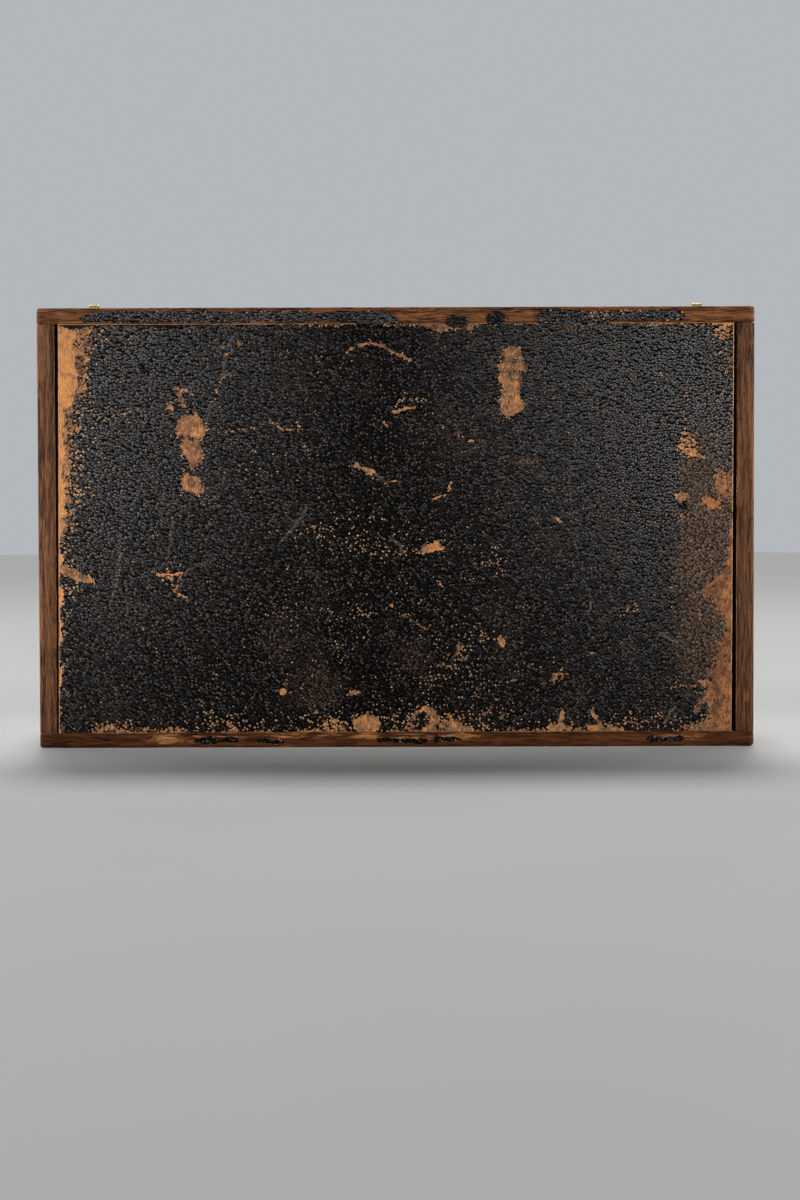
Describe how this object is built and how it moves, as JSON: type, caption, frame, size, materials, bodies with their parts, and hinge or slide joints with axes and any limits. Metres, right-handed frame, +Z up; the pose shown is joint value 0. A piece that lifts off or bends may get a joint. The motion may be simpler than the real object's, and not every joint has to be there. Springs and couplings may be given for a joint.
{
  "type": "hinged wooden cigar box",
  "caption": "Old hinged wooden cigar box stood on its front wall, with a worn black pebble-grained covering on its underside and small brass hinges.",
  "frame": {"origin": "on the standing surface, under the middle of the box", "axes": "+X along the box, +Y from the underside to the lid, +Z up from the front wall to the back wall"},
  "size_m": [0.229, 0.063, 0.1438],
  "materials": {
    "wall_wood": "dark stained wood, satin, worn along its edges",
    "panel_wood": "bare orange-tan wood, matt",
    "covering": "black pebble-grained covering paper, satin, scuffed and torn",
    "lid_wood": "dark stained wood, satin, worn along its edges",
    "brass": "old brass, dulled"
  },
  "bodies": {
    "box": {"back_wall": "wall_wood", "front_wall": "wall_wood", "left_end_wall": "wall_wood", "right_end_wall": "wall_wood", "bottom_panel": "panel_wood", "covering": "covering", "covering_strip_left": "covering", "covering_strip_right": "covering", "left_hinge_box_leaf": "brass", "left_hinge_pin": "brass", "left_hinge_box_brad_left": "brass", "left_hinge_box_brad_right": "brass", "right_hinge_box_leaf": "brass", "right_hinge_pin": "brass", "right_hinge_box_brad_left": "brass", "right_hinge_box_brad_right": "brass"},
    "lid": {"lid": "lid_wood", "left_hinge_lid_leaf": "brass", "left_hinge_lid_brad_left": "brass", "left_hinge_lid_brad_right": "brass", "right_hinge_lid_leaf": "brass", "right_hinge_lid_brad_left": "brass", "right_hinge_lid_brad_right": "brass"}
  },
  "joints": [
    {"name": "lid_hinge", "type": "hinge", "parent": "box", "child": "lid", "pos_m": [0, 0.02505, 0.14245], "axis": [1, 0, 0], "range_deg": [0, 180]}
  ]
}
